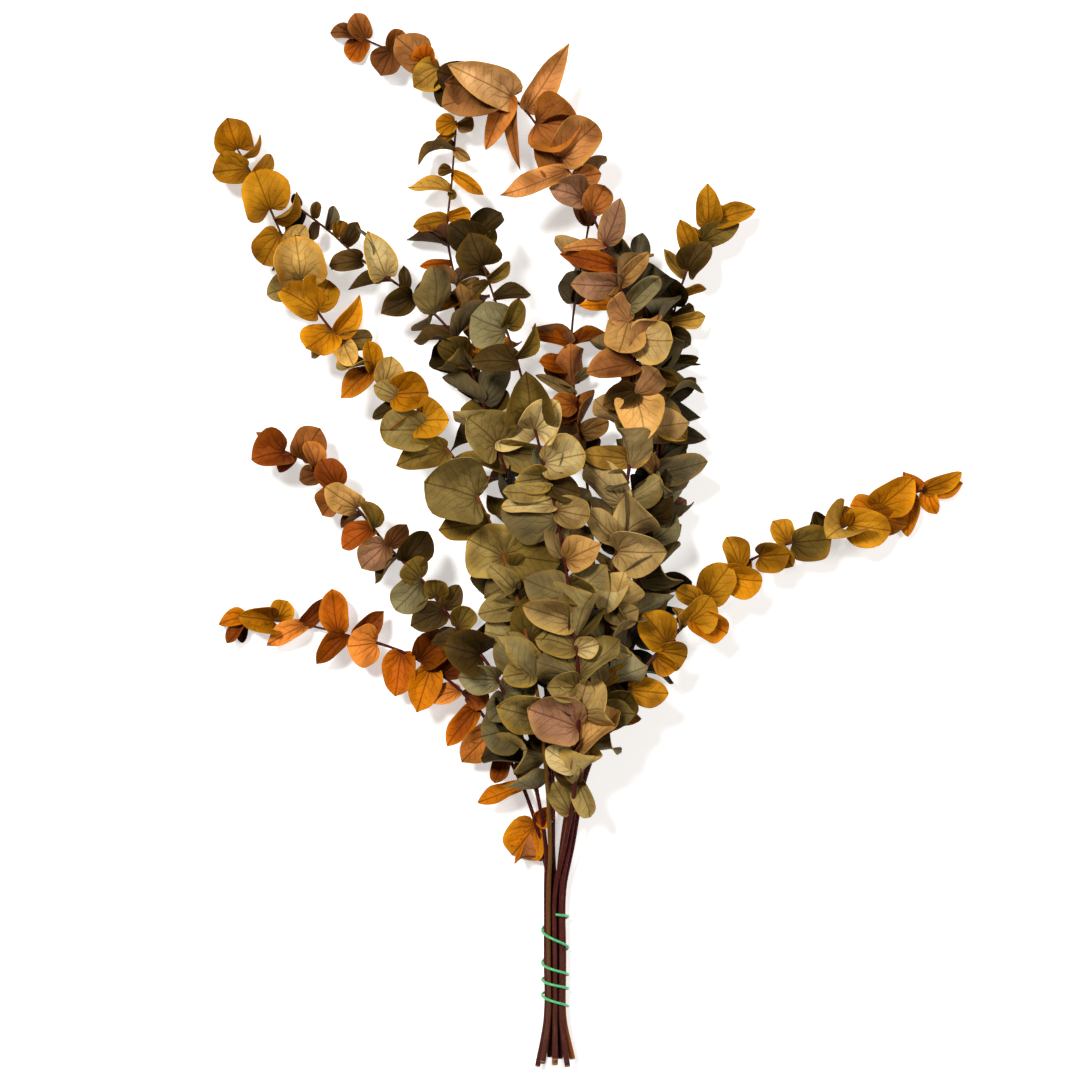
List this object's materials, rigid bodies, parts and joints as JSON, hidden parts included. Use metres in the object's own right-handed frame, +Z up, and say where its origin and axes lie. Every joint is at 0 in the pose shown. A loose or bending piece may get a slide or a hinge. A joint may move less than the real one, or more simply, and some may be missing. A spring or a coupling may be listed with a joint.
{
  "type": "dried eucalyptus bunch",
  "caption": "Bunch of dried eucalyptus stems lying flat: leafy stems with round and pointed leaves in pairs fan out above a bare stalk bundle bound with a green tie.",
  "frame": {"origin": "on the surface the bunch lies on, under the middle of its box", "axes": "+Z up from the surface; +Y from the cut ends towards the longest tip; +X to the right as seen from above"},
  "size_m": [0.4997, 0.7003, 0.0999],
  "materials": {
    "leafy_stem_olive": "matt dried leaf",
    "leafy_stem_copper": "matt dried leaf",
    "leafy_stem_gold": "matt dried leaf",
    "leafy_stem_rust": "matt dried leaf",
    "leafy_stem_mustard": "matt dried leaf",
    "leafy_stem_slate": "matt dried leaf",
    "leafy_stem_umber": "matt dried leaf",
    "leafy_stem_orange": "matt dried leaf",
    "leafy_stem_sage": "matt dried leaf",
    "leafy_stem_amber": "matt dried leaf",
    "leafy_stem_ginger": "matt dried leaf",
    "tie": "satin"
  },
  "bodies": {
    "root": {"stem_centre_olive": "leafy_stem_olive", "stem_arch_copper": "leafy_stem_copper", "stem_upper_left_gold": "leafy_stem_gold", "stem_left_rust": "leafy_stem_rust", "stem_right_gold": "leafy_stem_mustard", "stem_inner_slate": "leafy_stem_slate", "stem_upper_left_umber": "leafy_stem_umber", "stem_low_left_orange": "leafy_stem_orange", "stem_right_sage": "leafy_stem_sage", "stem_thin_amber": "leafy_stem_amber", "stem_hidden_ginger": "leafy_stem_ginger", "tie_green": "tie"}
  },
  "joints": []
}
